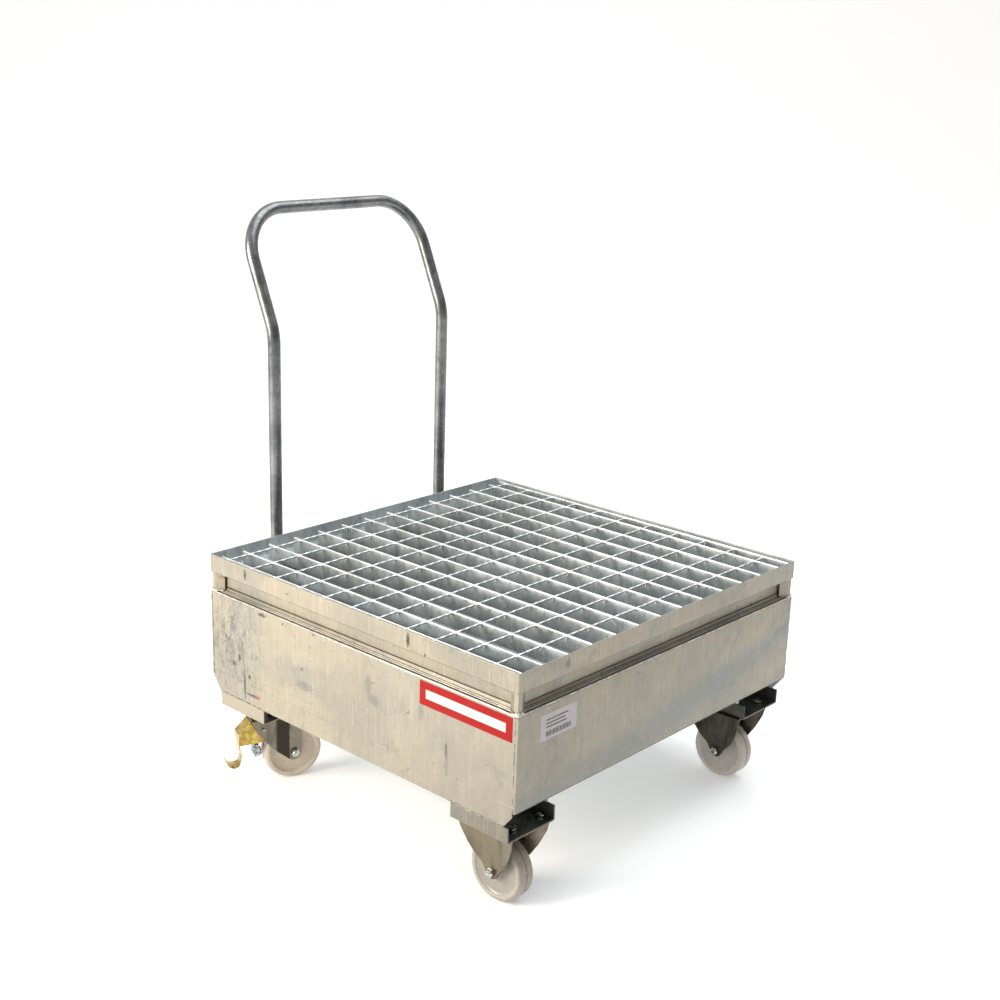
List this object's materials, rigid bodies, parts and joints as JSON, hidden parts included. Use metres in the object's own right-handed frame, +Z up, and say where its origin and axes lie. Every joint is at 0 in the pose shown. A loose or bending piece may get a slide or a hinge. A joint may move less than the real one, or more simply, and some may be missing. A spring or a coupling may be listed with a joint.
{
  "type": "drum spill trolley",
  "caption": "Galvanised steel spill sump trolley for one upright drum, with a lift-out grating over a catch basin, fixed and braked swivel castors and a tube push handle.",
  "frame": {"origin": "on the floor, under the middle of the whole trolley's bounding box", "axes": "+Z up, +X forward, away from the push handle, towards the fixed castors, +Y to the left of somebody pushing"},
  "size_m": [1.0044, 0.9308, 1.2036],
  "materials": {
    "sump_tray": "hot-dip galvanised sheet, matt with streaks",
    "rim_frame": "hot-dip galvanised sheet, matt with streaks",
    "corner_post_front_left": "galvanised bent sheet",
    "corner_post_front_right": "galvanised bent sheet",
    "corner_post_rear_left": "galvanised bent sheet",
    "corner_post_rear_right": "galvanised bent sheet",
    "grating_support_angle": "galvanised angle",
    "floor_bearer_left": "galvanised strip",
    "floor_bearer_right": "galvanised strip",
    "grating": "bright galvanised bars",
    "push_handle": "glossy galvanised tube",
    "front_left_castor_channel": "galvanised folded sheet",
    "front_left_fork": "zinc plated pressed steel",
    "front_left_wheel": "satin cream nylon",
    "front_left_axle_bolt": "zinc plated",
    "front_left_axle_nut": "zinc plated",
    "front_left_axle_sleeve": "zinc plated tube",
    "front_right_castor_channel": "galvanised folded sheet",
    "front_right_fork": "zinc plated pressed steel",
    "front_right_wheel": "satin cream nylon",
    "front_right_axle_bolt": "zinc plated",
    "front_right_axle_nut": "zinc plated",
    "front_right_axle_sleeve": "zinc plated tube",
    "rear_left_castor_channel": "galvanised folded sheet",
    "rear_left_top_plate": "zinc plated pressed steel",
    "rear_left_swivel_race": "zinc plated ball race",
    "rear_left_kingpin": "zinc plated",
    "rear_left_fork": "zinc plated pressed steel",
    "rear_left_wheel": "satin cream nylon",
    "rear_left_axle_bolt": "zinc plated",
    "rear_left_axle_nut": "zinc plated",
    "rear_left_axle_sleeve": "zinc plated tube",
    "rear_left_brake_pedal": "yellow passivated zinc",
    "rear_left_brake_shoe": "bright zinc",
    "rear_left_pedal_pin": "zinc plated pin",
    "rear_right_castor_channel": "galvanised folded sheet",
    "rear_right_top_plate": "zinc plated pressed steel",
    "rear_right_swivel_race": "zinc plated ball race",
    "rear_right_kingpin": "zinc plated",
    "rear_right_fork": "zinc plated pressed steel",
    "rear_right_wheel": "satin cream nylon",
    "rear_right_axle_bolt": "zinc plated",
    "rear_right_axle_nut": "zinc plated",
    "rear_right_axle_sleeve": "zinc plated tube",
    "rear_right_brake_pedal": "yellow passivated zinc",
    "rear_right_brake_shoe": "bright zinc",
    "rear_right_pedal_pin": "zinc plated pin"
  },
  "bodies": {
    "chassis": {"sump_tray": "sump_tray", "rim_frame": "rim_frame", "corner_post_front_left": "corner_post_front_left", "corner_post_front_right": "corner_post_front_right", "corner_post_rear_left": "corner_post_rear_left", "corner_post_rear_right": "corner_post_rear_right", "grating_support_angle": "grating_support_angle", "floor_bearer_left": "floor_bearer_left", "floor_bearer_right": "floor_bearer_right", "push_handle": "push_handle", "front_left_castor_channel": "front_left_castor_channel", "front_left_fork": "front_left_fork", "front_left_axle_bolt": "front_left_axle_bolt", "front_left_axle_nut": "front_left_axle_nut", "front_left_axle_sleeve": "front_left_axle_sleeve", "rear_left_castor_channel": "rear_left_castor_channel", "rear_left_top_plate": "rear_left_top_plate", "rear_left_swivel_race": "rear_left_swivel_race", "rear_left_kingpin": "rear_left_kingpin", "front_right_castor_channel": "front_right_castor_channel", "front_right_fork": "front_right_fork", "front_right_axle_bolt": "front_right_axle_bolt", "front_right_axle_nut": "front_right_axle_nut", "front_right_axle_sleeve": "front_right_axle_sleeve", "rear_right_castor_channel": "rear_right_castor_channel", "rear_right_top_plate": "rear_right_top_plate", "rear_right_swivel_race": "rear_right_swivel_race", "rear_right_kingpin": "rear_right_kingpin"},
    "grating": {"grating": "grating"},
    "front_left_wheel": {"front_left_wheel": "front_left_wheel"},
    "front_right_wheel": {"front_right_wheel": "front_right_wheel"},
    "rear_left_swivel": {"rear_left_fork": "rear_left_fork", "rear_left_axle_bolt": "rear_left_axle_bolt", "rear_left_axle_nut": "rear_left_axle_nut", "rear_left_axle_sleeve": "rear_left_axle_sleeve"},
    "rear_left_wheel": {"rear_left_wheel": "rear_left_wheel"},
    "rear_left_pedal": {"rear_left_brake_pedal": "rear_left_brake_pedal", "rear_left_brake_shoe": "rear_left_brake_shoe", "rear_left_pedal_pin": "rear_left_pedal_pin"},
    "rear_right_swivel": {"rear_right_fork": "rear_right_fork", "rear_right_axle_bolt": "rear_right_axle_bolt", "rear_right_axle_nut": "rear_right_axle_nut", "rear_right_axle_sleeve": "rear_right_axle_sleeve"},
    "rear_right_wheel": {"rear_right_wheel": "rear_right_wheel"},
    "rear_right_pedal": {"rear_right_brake_pedal": "rear_right_brake_pedal", "rear_right_brake_shoe": "rear_right_brake_shoe", "rear_right_pedal_pin": "rear_right_pedal_pin"}
  },
  "joints": [
    {"name": "grating_lift", "type": "slide", "parent": "chassis", "child": "grating", "axis": [0, 0, 1], "range_m": [0, 0.1]},
    {"name": "front_left_wheel_spin", "type": "hinge", "parent": "chassis", "child": "front_left_wheel", "pos_m": [0.40865, 0.363, 0.0633], "axis": [0, 1, 0], "continuous": true},
    {"name": "front_right_wheel_spin", "type": "hinge", "parent": "chassis", "child": "front_right_wheel", "pos_m": [0.40865, -0.363, 0.0633], "axis": [0, 1, 0], "continuous": true},
    {"name": "rear_left_swivel_turn", "type": "hinge", "parent": "chassis", "child": "rear_left_swivel", "pos_m": [-0.26735, 0.363, 0.15], "axis": [0, 0, 1], "continuous": true},
    {"name": "rear_right_swivel_turn", "type": "hinge", "parent": "chassis", "child": "rear_right_swivel", "pos_m": [-0.26735, -0.363, 0.15], "axis": [0, 0, 1], "continuous": true},
    {"name": "rear_left_wheel_spin", "type": "hinge", "parent": "rear_left_swivel", "child": "rear_left_wheel", "pos_m": [-0.25141, 0.32414, 0.0633], "axis": [0.9252, 0.3795, 0], "continuous": true},
    {"name": "rear_right_wheel_spin", "type": "hinge", "parent": "rear_right_swivel", "child": "rear_right_wheel", "pos_m": [-0.25141, -0.32414, 0.0633], "axis": [-0.9252, 0.3795, 0], "continuous": true},
    {"name": "rear_left_pedal_press", "type": "hinge", "parent": "rear_left_swivel", "child": "rear_left_pedal", "pos_m": [-0.27798, 0.38891, 0.13], "axis": [-0.9252, -0.3795, 0], "range_deg": [0, 4.2]},
    {"name": "rear_right_pedal_press", "type": "hinge", "parent": "rear_right_swivel", "child": "rear_right_pedal", "pos_m": [-0.27798, -0.38891, 0.13], "axis": [0.9252, -0.3795, 0], "range_deg": [0, 4.2]}
  ]
}
